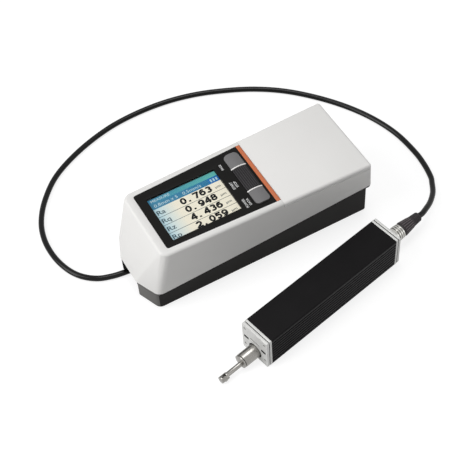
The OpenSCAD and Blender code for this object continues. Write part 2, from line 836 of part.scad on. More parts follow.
// Boot of a plug: a round taper with ribs at its narrow end
module boot_body() {
    rib = boot_l * 0.07;
    rotate([0, 90, 0]) rotate_extrude($fn = fine) polygon(concat(
        [[0, 0], [ring_d / 2 - 0.6, 0], [ring_d / 2 - 0.3, boot_l * 0.06], [boot_d / 2 + 0.6, boot_l * 0.58]],
        [for (k = [0 : 4]) each [
            [boot_d / 2 + 0.5 - 0.1 * k, boot_l * 0.6 + 1.14 * rib * k],
            [boot_d / 2 + 0.5 - 0.1 * k, boot_l * 0.6 + 1.14 * rib * k + rib * 0.7],
            [boot_d / 2 + 0.1 - 0.1 * k, boot_l * 0.6 + 1.14 * rib * k + rib * 0.7],
            [boot_d / 2 + 0.1 - 0.1 * k, boot_l * 0.6 + 1.14 * rib * (k + 1)]
        ]],
        [[boot_d / 2 - 0.2, boot_l], [0, boot_l]]));
}

module at_bay_plug() {
    translate([bay_rear, 0, plug_z]) mirror([1, 0, 0]) children();
}

module at_drive_plug() {
    on_drive() translate([rear_face, 0, plug_z]) children();
}

module bay_socket() {
    color("silver") at_bay_plug() socket_body(bay_wall);
}

module drive_socket() {
    color("silver") at_drive_plug() socket_body(flange_t + plate_t);
}

module plug_ring() {
    color("lightgrey") at_drive_plug() translate([socket_out, 0, 0]) ring_body();
}

module plug_boot() {
    color([0.23, 0.21, 0.22]) at_drive_plug() translate([socket_out + ring_l, 0, 0]) boot_body();
}

module bay_plug_ring() {
    color("lightgrey") at_bay_plug() translate([socket_out, 0, 0]) ring_body();
}

module bay_plug_boot() {
    color([0.23, 0.21, 0.22]) at_bay_plug() translate([socket_out + ring_l, 0, 0]) boot_body();
}

// Direction of the cord at point k of its route; its ends lie along the plugs
function cord_dir(k) = let (
    last = len(cord_route) - 1,
    along = cord_route[min(k + 1, last)] - cord_route[max(k - 1, 0)],
    d = k == 0 ? [-1, 0, 0] : k == last ? [-cos(drive_yaw), -sin(drive_yaw), 0] : along
) d / norm(d);

module cord() {
    n = len(cord_route);
    ring_points = [for (k = [0 : n - 1])
        let (d = cord_dir(k), s = cross([0, 0, 1], d) / norm(cross([0, 0, 1], d)), u = cross(d, s))
        for (j = [0 : cord_sides - 1])
            let (a = 360 * (j + 0.5) / cord_sides) cord_route[k] + cord_r * (cos(a) * s + sin(a) * u)];
    walls = [for (k = [0 : n - 2], j = [0 : cord_sides - 1])
        let (m = (j + 1) % cord_sides)
        each [
            [k * cord_sides + j, (k + 1) * cord_sides + m, (k + 1) * cord_sides + j],
            [k * cord_sides + j, k * cord_sides + m, (k + 1) * cord_sides + m]
        ]];
    ends = [
        [for (j = [0 : cord_sides - 1]) cord_sides - 1 - j],
        [for (j = [0 : cord_sides - 1]) (n - 1) * cord_sides + j]
    ];
    color([0.08, 0.08, 0.08]) polyhedron(ring_points, [for (f = concat(walls, ends)) [for (i = f) i]]);
}

module drive_case() {
    inner_h = drive_h - 2 * case_t;
    groove_z0 = (drive_h - groove_pitch * (groove_count - 1)) / 2;
    color([0.12, 0.12, 0.12]) on_drive() rotate([90, 0, 90]) linear_extrude(drive_l) difference() {
        translate([0, drive_h / 2]) round_rect(drive_w, drive_h, 0.8);
        difference() {
            translate([-inner_w / 2, case_t]) square([inner_w, inner_h]);
            for (s = [-1, 1]) translate([s * inner_w / 2, rail_z - rail_t / 2])
                square([2 * rail_w, rail_t], center = true);
        }
        for (k = [0 : groove_count - 1], s = [-1, 1])
            translate([s * drive_w / 2, groove_z0 + k * groove_pitch]) square([2 * groove_d, groove_w], center = true);
    }
}

// End plate of the drive unit with its lower edge raised by step
module end_plate(x, t, step) {
    translate([x, 0, drive_h / 2]) rotate([90, 0, 90]) slab(drive_w - 2 * step, drive_h - 2 * step, t, 0.8);
}

// Outer end plate from x0 to x1, with a narrower neck against the flange at x_neck
module outer_plate(x0, x1, x_neck) {
    neck = 0.9;
    end_plate(x0, x1 - x0, plate_step);
    end_plate(min(x1 - touch, x_neck), plate_seam + touch, neck);
}

screw_places = [for (z = [5.4, drive_h - 4], s = [-1, 1]) [s * screw_y, z]];

module screw_holes(x0, x1, places) {
    for (p = places) translate([0, p[0], p[1]]) shaft(x0, x1, 1);
}

module front_flange() {
    color([0.75, 0.75, 0.75]) on_drive() difference() {
        end_plate(-flange_t, flange_t, 0);
        translate([0, 0, tube_z]) shaft(-flange_t - 1, 1, bore_r);
        screw_holes(-flange_t - 1, 1, screw_places);
    }
}

module front_plate() {
    slot_z = drive_h / 2 + 0.7;
    color([0.8, 0.8, 0.8]) on_drive() difference() {
        outer_plate(front_face, -flange_t - plate_seam, -flange_t);
        translate([0, 0, tube_z]) shaft(front_face - 1, 1, bore_r);
        screw_holes(front_face - 1, 1, screw_places);
        for (s = [-1, 1]) block(
            [front_face - 1, s * 7.8 - 2, slot_z - 1.1], [front_face + 1.5, s * 7.8 + 2, slot_z + 1.1]);
        block([front_face - 1, -4.2, slot_z + 2.2], [front_face + 0.6, 4.2, slot_z + 2.8]);
    }
}

module rear_flange() {
    color([0.75, 0.75, 0.75]) on_drive() difference() {
        end_plate(drive_l, flange_t, 0);
        translate([0, 0, plug_z]) shaft(drive_l - 1, rear_face + 1, socket_d / 2);
        screw_holes(drive_l - 1, rear_face + 1, screw_places);
    }
}

module rear_plate() {
    color([0.8, 0.8, 0.8]) on_drive() difference() {
        outer_plate(drive_l + flange_t + plate_seam, rear_face, drive_l + flange_t);
        translate([0, 0, plug_z]) shaft(drive_l - 1, rear_face + 1, socket_d / 2);
        screw_holes(drive_l - 1, rear_face + 1, screw_places);
    }
}

module plate_screws() {
    color("silver") on_drive() for (p = screw_places) translate([0, p[0], p[1]]) {
        shaft(front_face + 0.3, 0, 0.95);
        shaft(drive_l, rear_face - 0.3, 0.95);
    }
}

module detector_bush() {
    color([0.15, 0.15, 0.15]) on_drive() translate([0, 0, tube_z]) difference() {
        shaft(front_face + 0.5, 0, bore_r);
        shaft(front_face - 1, 1, tube_d / 2 + run_fit);
    }
}

module detector_tube() {
    color([0.78, 0.77, 0.74]) on_drive() translate([0, 0, tube_z]) difference() {
        shaft(tube_front, carriage_x, tube_d / 2);
        shaft(tube_front - 1, carriage_x + 1, tube_d / 2 - tube_t);
    }
}

module detector_nose() {
    color([0.8, 0.79, 0.76]) on_drive() difference() {
        union() {
            translate([0, 0, tube_z]) {
                shaft(tube_front - nose_cap, tube_front - cap_groove, tube_d / 2 - 0.1);
                shaft(tube_front - nose_cap, tube_front + spigot_l, tube_d / 2 - tube_t);
            }
            translate([0, 0, rod_z]) shaft(rod_front, tube_front - nose_cap, rod_d / 2);
            translate([0, 0, head_z]) shaft(head_front, rod_front, head_d / 2);
            translate([head_front + head_l / 2 + 1, 0, skid_r + 0.4]) rotate([90, 0, 0])
                cylinder(r = skid_r, h = 2.8, center = true, $fn = fine);
        }
        translate([0, 0, rod_z]) shaft(head_front + 1.1, tube_front + spigot_l + 1, rod_bore);
        block([head_front + 1.1, -slot_w / 2, -1], [rod_front - 1.1, slot_w / 2, big]);
    }
}

module sensor_coil() {
    color([0.72, 0.45, 0.25]) on_drive() translate([0, 0, tube_z + 1.5]) {
        shaft(pivot_x + 9, pivot_x + 19, 1.9);
        for (x = [8, 19]) shaft(pivot_x + x, pivot_x + x + 1, 2.3);
    }
}

module stylus() {
    color([0.55, 0.56, 0.6]) on_drive() difference() {
        union() {
            translate([0, 0, rod_z]) shaft(stylus_x, pivot_x + 18, arm_r);
            translate([pivot_x, 0, rod_z]) rotate([90, 0, 0]) cylinder(r = 1, h = 2, center = true, $fn = fine);
            translate([stylus_x, 0, tip_z]) cylinder(r1 = 0.06, r2 = 0.4, h = rod_z - tip_z, $fn = fine);
        }
        translate([pivot_x, 0, rod_z]) rotate([90, 0, 0])
            cylinder(r = pivot_r + run_fit, h = 3, center = true, $fn = fine);
    }
}

module pivot_pin() {
    inner = tube_d / 2 - tube_t;
    reach = sqrt(inner * inner - pow(tube_z - rod_z + pivot_r, 2));
    color("silver") on_drive() translate([pivot_x, 0, rod_z]) rotate([90, 0, 0])
        cylinder(r = pivot_r, h = 2 * reach - 0.1, center = true, $fn = fine);
}

module carriage() {
    color([0.5, 0.5, 0.52]) on_drive() difference() {
        block([carriage_x, -carriage_w / 2, case_t + 0.5], [carriage_x + carriage_l, carriage_w / 2, carriage_top]);
        translate([0, 0, shaft_z]) {
            shaft(carriage_x - 1, carriage_x + carriage_l + 1, screw_shaft_r + run_fit);
            for (s = [-1, 1]) translate([0, s * guide_y, 0])
                shaft(carriage_x - 1, carriage_x + carriage_l + 1, guide_r + run_fit);
        }
        translate([0, 0, tube_z]) shaft(carriage_x - 1, carriage_x + carriage_l + 1, tube_d / 2 - 2 * tube_t);
    }
}

module guide_rods() {
    color("silver") on_drive() translate([0, 0, shaft_z]) for (s = [-1, 1])
        translate([0, s * guide_y, 0]) shaft(0, mount_x, guide_r);
}

module lead_screw() {
    color([0.7, 0.7, 0.72]) on_drive() translate([0, 0, shaft_z]) {
        shaft(6, mount_x + mount_t, screw_shaft_r);
        shaft(mount_x - 1.5, mount_x - 0.2, screw_shaft_r + 0.8);
    }
}

module motor_mount() {
    color([0.6, 0.6, 0.62]) on_drive() difference() {
        block([mount_x, -inner_w / 2 + 0.05, case_t], [mount_x + mount_t, inner_w / 2 - 0.05, rail_z - rail_t]);
        translate([0, 0, shaft_z]) shaft(mount_x - 1, mount_x + mount_t + 1, screw_shaft_r + run_fit);
    }
}

module gearbox() {
    color([0.65, 0.6, 0.4]) on_drive() translate([0, 0, shaft_z]) shaft(mount_x + mount_t, mount_x + mount_t + gear_l, motor_r);
}

module motor() {
    x0 = mount_x + mount_t + gear_l;
    color([0.7, 0.7, 0.7]) on_drive() translate([0, 0, shaft_z]) {
        shaft(x0, x0 + motor_l, motor_r);
        shaft(x0 + motor_l, x0 + motor_l + 1.5, 2);
        for (s = [-1, 1]) block([x0 + motor_l, s * 3.5 - 0.4, -0.6], [x0 + motor_l + 2.5, s * 3.5 + 0.4, 0.6]);
    }
}

module drive_board() {
    color([0.1, 0.4, 0.25]) on_drive() {
        block(
            [drive_board_x0, -inner_w / 2 + 0.1, rail_z],
            [drive_l - drive_board_end, inner_w / 2 - 0.1, rail_z + drive_board_t]);
        translate([drive_l - 2 * drive_board_end - drive_chip[0], -drive_chip[1] / 2, rail_z + drive_board_t - touch])
            cube(drive_chip);
    }
}

top_cover();
base();
bezel();
screen_window();
screen_module();
trim_strip();
upper_key();
middle_key();
lower_key();
key_dividers();
key_board();
key_cover();
slide_runners();
keypad_plate();
cursor_up_key();
cursor_down_key();
cursor_left_key();
cursor_right_key();
enter_key();
menu_key();
page_key();
escape_key();
main_board();
battery_pack();
battery_door();
case_screws();
power_jack();
data_port();
bay_socket();
cord();
plug_ring();
plug_boot();
bay_plug_ring();
bay_plug_boot();
drive_case();
front_flange();
front_plate();
rear_flange();
rear_plate();
plate_screws();
drive_socket();
detector_bush();
detector_tube();
detector_nose();
sensor_coil();
stylus();
pivot_pin();
carriage();
guide_rods();
lead_screw();
motor_mount();
gearbox();
motor();
drive_board();
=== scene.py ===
"""Looks of the surface roughness tester: display unit, drive unit with detector, and their lead."""
import json
import math

import bmesh
import bpy
from mathutils import Matrix, Vector


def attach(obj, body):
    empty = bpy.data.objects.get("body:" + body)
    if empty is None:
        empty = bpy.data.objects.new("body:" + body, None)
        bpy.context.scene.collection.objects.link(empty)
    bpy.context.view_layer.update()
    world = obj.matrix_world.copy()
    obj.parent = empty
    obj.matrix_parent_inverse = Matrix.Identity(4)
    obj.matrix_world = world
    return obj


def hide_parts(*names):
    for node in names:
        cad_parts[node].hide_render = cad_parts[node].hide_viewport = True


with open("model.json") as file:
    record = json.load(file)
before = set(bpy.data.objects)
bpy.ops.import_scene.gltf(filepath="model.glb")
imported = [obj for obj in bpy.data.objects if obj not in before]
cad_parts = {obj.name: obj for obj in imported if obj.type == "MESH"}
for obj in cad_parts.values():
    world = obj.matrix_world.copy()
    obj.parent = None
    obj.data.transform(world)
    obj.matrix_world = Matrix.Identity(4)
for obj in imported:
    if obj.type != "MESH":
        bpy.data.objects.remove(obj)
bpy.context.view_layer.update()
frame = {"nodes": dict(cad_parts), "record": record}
NODES = frame["nodes"]
ROOT = "tester"
MM = 0.001

# Camera at the photograph's place: angles in degrees, lengths in mm, focal length in the photo's pixels
CAM_AZ, CAM_EL, CAM_ROLL = -25.9412, 52.7601, -4.2959
CAM_DIST = 825.154
CAM_SHIFT = (-4.3004, -4.9864)
FOCAL_PX = 1212.54
FRAME_PX = 474
SENSOR = 36
NEAR_CLIP = 10
cam_data = bpy.data.cameras.new("camera")
cam_data.sensor_width = SENSOR
cam_data.lens = FOCAL_PX / FRAME_PX * SENSOR
cam_data.clip_start = NEAR_CLIP * MM
camera = bpy.data.objects.new("camera", cam_data)
bpy.context.collection.objects.link(camera)
cam_turn = (Matrix.Rotation(math.radians(CAM_AZ), 4, "Z")
            @ Matrix.Rotation(math.radians(90 - CAM_EL), 4, "X")
            @ Matrix.Rotation(math.radians(CAM_ROLL), 4, "Z"))
camera.matrix_world = cam_turn @ Matrix.Translation(Vector((*CAM_SHIFT, CAM_DIST)) * MM)
bpy.context.scene.camera = camera
bpy.context.scene.view_settings.view_transform = "Standard"

# Drive unit's own frame on the table, in mm: a along its case from the front end, b across it, z up
DRIVE_X, DRIVE_Y = -39, -90.5
DRIVE_YAW = math.radians(12.6)
DRIVE_L = 110
TO_TABLE = Matrix.Translation((DRIVE_X, DRIVE_Y, 0)) @ Matrix.Rotation(DRIVE_YAW, 4, "Z")
TO_DRIVE = TO_TABLE.inverted()

# Materials: depth of the grain in mm
CLOUD_DETAIL, GRAIN_DETAIL = 3.0, 2.0
GRAIN_DEPTH = 0.04
BRUSH_STRETCH = (1, 9, 9)
PICTURE_ROUGH, PICTURE_SPEC = 0.5, 0.1


def srgb(red, green, blue):
    """Linear colour of an sRGB colour in 0 to 255."""
    shares = [value / 255 for value in (red, green, blue)]
    return tuple(s / 12.92 if s <= 0.04045 else ((s + 0.055) / 1.055) ** 2.4 for s in shares)


def new_material(name):
    """New material, its node tree and its main shader."""
    material = bpy.data.materials.new(name)
    material.use_nodes = True
    tree = material.node_tree
    return material, tree, tree.nodes["Principled BSDF"]


def object_place(tree):
    return tree.nodes.new("ShaderNodeTexCoord").outputs["Object"]


def brushed_place(tree, place):
    """Coordinates that draw a noise out along the drive unit, as brushing does."""
    mapping = tree.nodes.new("ShaderNodeMapping")
    mapping.inputs["Scale"].default_value = BRUSH_STRETCH
    mapping.inputs["Rotation"].default_value = (0, 0, -DRIVE_YAW)
    tree.links.new(place, mapping.inputs["Vector"])
    return mapping.outputs["Vector"]


def noise(tree, place, scale, detail):
    texture = tree.nodes.new("ShaderNodeTexNoise")
    texture.inputs["Scale"].default_value = scale
    texture.inputs["Detail"].default_value = detail
    tree.links.new(place, texture.inputs["Vector"])
    return texture.outputs["Fac"]


def ramp(tree, factor, low, high, at=(0.35, 0.65)):
    """Colour that runs from low to high while the factor runs between two places."""
    node = tree.nodes.new("ShaderNodeValToRGB")
    for stop, position, color in zip(node.color_ramp.elements, at, (low, high)):
        stop.position = position
        stop.color = (*color, 1)
    tree.links.new(factor, node.inputs["Fac"])
    return node.outputs["Color"]


def spread(tree, value, low, high, start=0.0, end=1.0):
    """Number that runs from low to high while the value runs from start to end."""
    node = tree.nodes.new("ShaderNodeMapRange")
    for socket, number in (("From Min", start), ("From Max", end), ("To Min", low), ("To Max", high)):
        node.inputs[socket].default_value = number
    tree.links.new(value, node.inputs["Value"])
    return node.outputs["Result"]


def surface(name, color, rough, metal=0.0, vary=0.05, vary_scale=45, grain=1400, bump=0.06, rough_vary=0.06,
            spec=0.5, sheen=0.0, brushed=False):
    """Material with uneven colour, uneven roughness and a fine moulded, cast or brushed grain."""
    material, tree, shader = new_material(name)
    place = object_place(tree)
    low = [c * (1 - vary) for c in color]
    high = [min(1, c * (1 + vary)) for c in color]
    cloud = ramp(tree, noise(tree, place, vary_scale, CLOUD_DETAIL), low, high)
    grain_place = brushed_place(tree, place) if brushed else place
    fine = noise(tree, grain_place, grain, GRAIN_DETAIL)
    relief = tree.nodes.new("ShaderNodeBump")
    relief.inputs["Strength"].default_value = bump
    relief.inputs["Distance"].default_value = GRAIN_DEPTH * MM
    tree.links.new(fine, relief.inputs["Height"])
    tree.links.new(cloud, shader.inputs["Base Color"])
    tree.links.new(spread(tree, fine, rough - rough_vary, rough + rough_vary), shader.inputs["Roughness"])
    tree.links.new(relief.outputs["Normal"], shader.inputs["Normal"])
    shader.inputs["Metallic"].default_value = metal
    shader.inputs["Specular IOR Level"].default_value = spec
    shader.inputs["Sheen Weight"].default_value = sheen
    return material


def fade(name, first, last, strength=0.1, span=(-59, -12)):
    """Lit part of the screen's picture, whose colour runs from first to last over a span of X in mm."""
    material, tree, shader = new_material(name)
    axes = tree.nodes.new("ShaderNodeSeparateXYZ")
    tree.links.new(object_place(tree), axes.inputs["Vector"])
    share = spread(tree, axes.outputs["X"], 0, 1, span[0] * MM, span[1] * MM)
    color = ramp(tree, share, first, last, (0, 1))
    tree.links.new(color, shader.inputs["Base Color"])
    tree.links.new(color, shader.inputs["Emission Color"])
    shader.inputs["Emission Strength"].default_value = strength
    shader.inputs["Roughness"].default_value = PICTURE_ROUGH
    shader.inputs["Specular IOR Level"].default_value = PICTURE_SPEC
    return material


def clear_window():
    """Thin clear plastic, a little unevenly glossy."""
    material, tree, shader = new_material("window_clear")
    shader.inputs["Base Color"].default_value = (0.02, 0.025, 0.03, 1)
    shader.inputs["Alpha"].default_value = 0.1
    cloud = noise(tree, object_place(tree), scale=60, detail=CLOUD_DETAIL)
    haze = ramp(tree, cloud, low=(0.05,) * 3, high=(0.12,) * 3)
    tree.links.new(haze, shader.inputs["Roughness"])
    return material


WHITE = surface("white_plastic", srgb(227, 226, 224), 0.5, vary=0.015, vary_scale=18, bump=0.05, spec=0.3)
BLACK = surface("black_plastic", srgb(30, 29, 28), 0.6, vary=0.1, vary_scale=30, bump=0.12, spec=0.07)
# Lighter black for the base's front end only: painted light for the light that this face catches
BLACK_FRONT_PAINTED_LIGHT = surface("black_front_painted_light", srgb(88, 87, 85), 0.55, vary=0.08, vary_scale=30, bump=0.12, spec=0.2)
BEZEL = surface("bezel_black", srgb(18, 17, 16), 0.35, vary=0.1, bump=0.02, spec=0.09)
ORANGE = surface("orange_plastic", srgb(195, 105, 61), 0.28, vary=0.04, bump=0.03)
GREY_KEY = surface("grey_key", srgb(112, 111, 112), 0.45, vary=0.04, bump=0.05, spec=0.3)
DARK_KEY = surface("dark_key", srgb(22, 21, 22), 0.45, bump=0.05, spec=0.2)
# Lighter grey than the middle key for its raised ribs: painted highlight
KEY_RIB_HIGHLIGHT = surface("key_rib_painted_highlight", srgb(60, 57, 60), 0.4, bump=0.05, spec=0.2)
WHITE_TRIM = surface("white_trim", srgb(236, 234, 232), 0.4, vary=0.02, bump=0.02)
LEGEND = surface("legend_white", srgb(205, 205, 205), 0.5, vary=0.03, bump=0.02)
PAD_GREY = surface("keypad_grey", srgb(128, 128, 132), 0.6, vary=0.04, bump=0.08, sheen=0.05)
PAD_ORANGE = surface("keypad_orange", srgb(220, 118, 66), 0.6, vary=0.04, bump=0.08, sheen=0.05)
PLATE_DARK = surface("plate_dark", srgb(52, 52, 54), 0.5, vary=0.06, bump=0.08)
BOARD = surface("circuit_board", srgb(24, 92, 58), 0.4, vary=0.12, vary_scale=160)
WRAP = surface("battery_wrap", srgb(50, 78, 150), 0.3)
STEEL = surface("steel", srgb(146, 144, 140), 0.28, metal=1.0, grain=500, brushed=True)
PLATE = surface("plate_metal", srgb(203, 203, 201), 0.5, metal=0.3, vary=0.04, vary_scale=70, grain=1800,
                bump=0.1)
CASE = surface("case_metal", srgb(19, 18, 19), 0.5, vary=0.1, vary_scale=60, grain=1600, bump=0.1, spec=0.06)
COIL = surface("coil", srgb(184, 110, 62), 0.35, metal=0.9, grain=900, bump=0.2)
CHROME = surface("ring_metal", srgb(178, 177, 173), 0.2, metal=1.0, vary=0.04, grain=700, bump=0.05)
BRASS = surface("gear_brass", srgb(196, 166, 100), 0.32, metal=1.0)
RUBBER = surface("rubber_black", srgb(44, 40, 42), 0.6, vary=0.08, bump=0.1, spec=0.3)
# Lighter rubber for the boots' raised ridges: painted highlight
RUBBER_GRIP_HIGHLIGHT = surface("rubber_grip_painted_highlight", srgb(104, 96, 99), 0.6, vary=0.08, bump=0.1, spec=0.3)
# Mid grey for the seams between flange and plate: painted shade in the gap
SEAM_SHADE = surface("plate_seam", srgb(92, 91, 90), 0.5, metal=0.6, vary=0.08, bump=0.05)
# Own black of the jack, port and bush; also the painted shade inside the front plate's slots and groove
SEAL_AND_SLOT_SHADE = surface("seal_black_and_slot_shade", srgb(20, 20, 20), 0.6, vary=0.1, bump=0.08, spec=0.25)
CORD = surface("cord_black", srgb(10, 10, 10), 0.12, vary=0.1, vary_scale=25, grain=600, bump=0.01,
               rough_vary=0.03, spec=0.2)
WINDOW = clear_window()

BADGE_X0, BADGE_X1 = -17.5, -10
STATUS = fade("screen_status", srgb(70, 150, 190), srgb(104, 200, 192))
TITLE = fade("screen_title_blue", srgb(78, 150, 184), srgb(48, 132, 178))
BADGE = fade("screen_badge_blue", srgb(40, 128, 200), srgb(24, 112, 190), span=(BADGE_X0, BADGE_X1))
FIELD = fade("screen_field_cream", srgb(190, 226, 238), srgb(250, 244, 224), strength=0.26, span=(-59, -44))
INK = fade("screen_ink", srgb(14, 14, 16), srgb(18, 18, 18), strength=0)
LINE = fade("screen_line", srgb(84, 112, 124), srgb(122, 120, 112), strength=0)
SOFT_INK = fade("screen_soft_ink", srgb(72, 104, 118), srgb(120, 124, 118), strength=0)
SCREEN_WHITE = fade("screen_white", srgb(206, 234, 242), srgb(190, 228, 240))

# Pieces: welding distance in mm, angles in degrees
WELD = 0.002
FLAT_ANGLE, HARD_ANGLE, SKIN_SHARP = 0.6, 33, 38
EDGE_PROFILE = 0.6


def box_of(node):
    """Lowest and highest corner of a CAD solid, in mm."""
    points = [v.co / MM for v in NODES[node].data.vertices]
    low = Vector([min(p[axis] for p in points) for axis in range(3)])
    high = Vector([max(p[axis] for p in points) for axis in range(3)])
    return low, high


def body_of(node):
    for body, members in frame["record"]["behaviour"]["bodies"].items():
        if node in members:
            return body
    return ROOT


def new_piece(name, bm, mats, body, sharp=32):
    """Piece made of a bmesh, riding on a body, with edges sharp above an angle in degrees."""
    mesh = bpy.data.meshes.new(name)
    bmesh.ops.recalc_face_normals(bm, faces=bm.faces)
    bm.to_mesh(mesh)
    bm.free()
    mesh.polygons.foreach_set("use_smooth", [True] * len(mesh.polygons))
    mesh.set_sharp_from_angle(angle=math.radians(sharp))
    for mat in mats:
        mesh.materials.append(mat)
    piece = bpy.data.objects.new(name, mesh)
    bpy.context.collection.objects.link(piece)
    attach(piece, body)
    return piece


def paint(node, mat):
    """A CAD solid keeps its shape and gets a finished material."""
    for material_slot in NODES[node].material_slots:
        material_slot.material = mat


def dress(node, mat, edge, steps=2, others=(), pick=None):
    """A CAD solid with its hard edges broken by edge mm, as a moulded or machined piece has them.

    pick gives each face, by its centre in mm and its normal, 0 for mat or the number of one of the others.
    """
    bm = bmesh.new()
    bm.from_mesh(NODES[node].data)
    bmesh.ops.remove_doubles(bm, verts=bm.verts, dist=WELD * MM)
    bmesh.ops.dissolve_limit(bm, angle_limit=math.radians(FLAT_ANGLE), verts=bm.verts, edges=bm.edges)
    limit = math.radians(HARD_ANGLE)
    hard = [e for e in bm.edges if len(e.link_faces) == 2 and e.calc_face_angle(0) > limit]
    bmesh.ops.bevel(bm, geom=hard, offset=edge * MM, segments=steps, profile=EDGE_PROFILE, affect="EDGES",
                    clamp_overlap=True)
    bmesh.ops.triangulate(bm, faces=[f for f in bm.faces if len(f.verts) > 4])
    if pick:
        bm.normal_update()
        for face in bm.faces:
            face.material_index = int(pick(face.calc_center_median() / MM, face.normal))
    piece = new_piece(node + "_skin", bm, [mat, *others], body_of(node), SKIN_SHARP)
    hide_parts(node)
    return piece


def stroke_into(curve, points, closed=False):
    """Stroke through points added to a curve."""
    spline = curve.splines.new("POLY")
    spline.points.add(len(points) - 1)
    spline.use_cyclic_u = closed
    spline.use_smooth = True
    for knot, point in zip(spline.points, points):
        knot.co = (*point, 1)


def curve_into(bm, curve, place):
    """Mesh of a curve, moved by a matrix and added to a bmesh. The curve itself goes."""
    holder = bpy.data.objects.new("curve", curve)
    bpy.context.collection.objects.link(holder)
    bpy.context.view_layer.update()
    mesh = bpy.data.meshes.new_from_object(holder.evaluated_get(bpy.context.evaluated_depsgraph_get()))
    mesh.transform(place)
    bm.from_mesh(mesh)
    bpy.data.meshes.remove(mesh)
    bpy.data.objects.remove(holder)
    bpy.data.curves.remove(curve)


# Lead, in mm: its ends in the two boots, and the points that it passes
PLUG_Z = 11.5
BOOT_L = 17
BOOT_END = 144
CORD_R = 2
CORD_Z = 2.1
ROUTE_STEPS = 7
BAY_END = Vector((14.7, 0, PLUG_Z))
BAY_OUT = BAY_END - Vector((9, 0, 0.6))
DRIVE_END = TO_TABLE @ Vector((BOOT_END, 0, PLUG_Z))
DRIVE_OUT = TO_TABLE @ Vector((BOOT_END + 4, 0, PLUG_Z - 0.3))
DOWN_FROM_BAY = [(-24, 1.5, 8.5), (-42, 4, 5), (-60, 6.5, 2.7)]
ON_TABLE = [
    (-74, 7.6), (-84, 8.4), (-94, 10), (-104, 13.8), (-112.5, 21.5), (-118, 32), (-121, 46), (-120.6, 62),
    (-116, 77.5), (-106, 93.5), (-90, 109.5), (-67, 122), (-41, 130.4), (-17.5, 133.3), (7, 132.4),
    (30, 127.6), (51, 119.5), (71, 109), (89, 95.5), (105, 78.5), (119, 59), (129.4, 38.5), (135.6, 17.5),
    (137.2, -3), (136.2, -17)]
UP_TO_DRIVE = [(133.5, -28.9, 2.4), (130.6, -34.7, 3), (126.7, -41.1, 4.2), (122.6, -45.9, 5.6),
               (116.7, -51.2, 7.6), (110.6, -55.3, 9.8)]
ROUTE = [BAY_END, BAY_OUT]
ROUTE += [Vector(p) for p in DOWN_FROM_BAY]
ROUTE += [Vector((x, y, CORD_Z)) for x, y in ON_TABLE]
ROUTE += [Vector(p) for p in UP_TO_DRIVE]
ROUTE += [DRIVE_OUT, DRIVE_END]


def smooth_route(points, steps):
    """Points of a smooth curve through the route's points, with a number of steps between two of them."""
    out = []
    extended = [2 * points[0] - points[1]] + points + [2 * points[-1] - points[-2]]
    for i in range(1, len(extended) - 2):
        p0, p1, p2, p3 = extended[i - 1:i + 3]
        for k in range(steps):
            t = k / steps
            out.append(0.5 * (2 * p1 + (p2 - p0) * t + (2 * p0 - 5 * p1 + 4 * p2 - p3) * t * t
                              + (3 * p1 - p0 - 3 * p2 + p3) * t ** 3))
    return out + [points[-1]]


cord_points = [p * MM for p in smooth_route(ROUTE, ROUTE_STEPS)]
cord_curve = bpy.data.curves.new("lead_cord", "CURVE")
cord_curve.dimensions = "3D"
cord_curve.bevel_depth = CORD_R * MM
cord_curve.bevel_resolution = 5
stroke_into(cord_curve, cord_points)
cord_curve.materials.append(CORD)
cord = bpy.data.objects.new("lead_cord", cord_curve)
bpy.context.collection.objects.link(cord)
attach(cord, ROOT)
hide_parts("cord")

# Display unit
# The base's front end gets a lighter black than its other faces: painted light
FRONT_REACH, FRONT_LEAN = 8, -0.55
base_low = box_of("base")[0]


def base_front_painted_light(centre, normal):
    """1 for a face of the base's front end, painted a lighter black as painted light, else 0."""
    return centre.x < base_low.x + FRONT_REACH and normal.x < FRONT_LEAN


dress("top_cover", WHITE, edge=0.3)
dress("key_cover", WHITE, edge=0.3)
dress("base", BLACK, edge=0.3, others=[BLACK_FRONT_PAINTED_LIGHT], pick=base_front_painted_light)
dress("bezel", BEZEL, edge=0.2)
dress("trim_strip", ORANGE, edge=0.5, steps=3)
dress("key_dividers", WHITE_TRIM, edge=0.15)
dress("upper_key", GREY_KEY, edge=0.35, steps=3)
dress("middle_key", DARK_KEY, edge=0.35, steps=3)
dress("lower_key", GREY_KEY, edge=0.35, steps=3)
dress("keypad_plate", PLATE_DARK, edge=0.15)
for node in ("cursor_up_key", "cursor_down_key", "cursor_left_key", "cursor_right_key",
             "menu_key", "page_key", "escape_key"):
    dress(node, PAD_GREY, edge=0.4, steps=3)
dress("enter_key", PAD_ORANGE, edge=0.4, steps=3)
dress("battery_door", BLACK, edge=0.2)
for node in ("power_jack", "data_port"):
    dress(node, SEAL_AND_SLOT_SHADE, edge=0.15)
dress("case_screws", STEEL, edge=0.15)
dress("bay_socket", STEEL, edge=0.2)
paint("screen_window", WINDOW)
paint("screen_module", PLATE_DARK)
paint("slide_runners", BLACK)
paint("key_board", BOARD)
paint("main_board", BOARD)
paint("battery_pack", WRAP)

# Lead's plugs, a ring and a boot at each end. Fine ridges run along a boot, from its thick end, in mm. The
# ridges are raised, and their lighter rubber than the boot is a painted highlight
GRIP_COUNT = 18
GRIP_ENDS = ((1.3, 5.07), (9.4, 3.97))
GRIP_HALF, GRIP_CROWN = 0.26, 0.6
GRIP_ROOT, GRIP_RISE = 0.15, 0.16


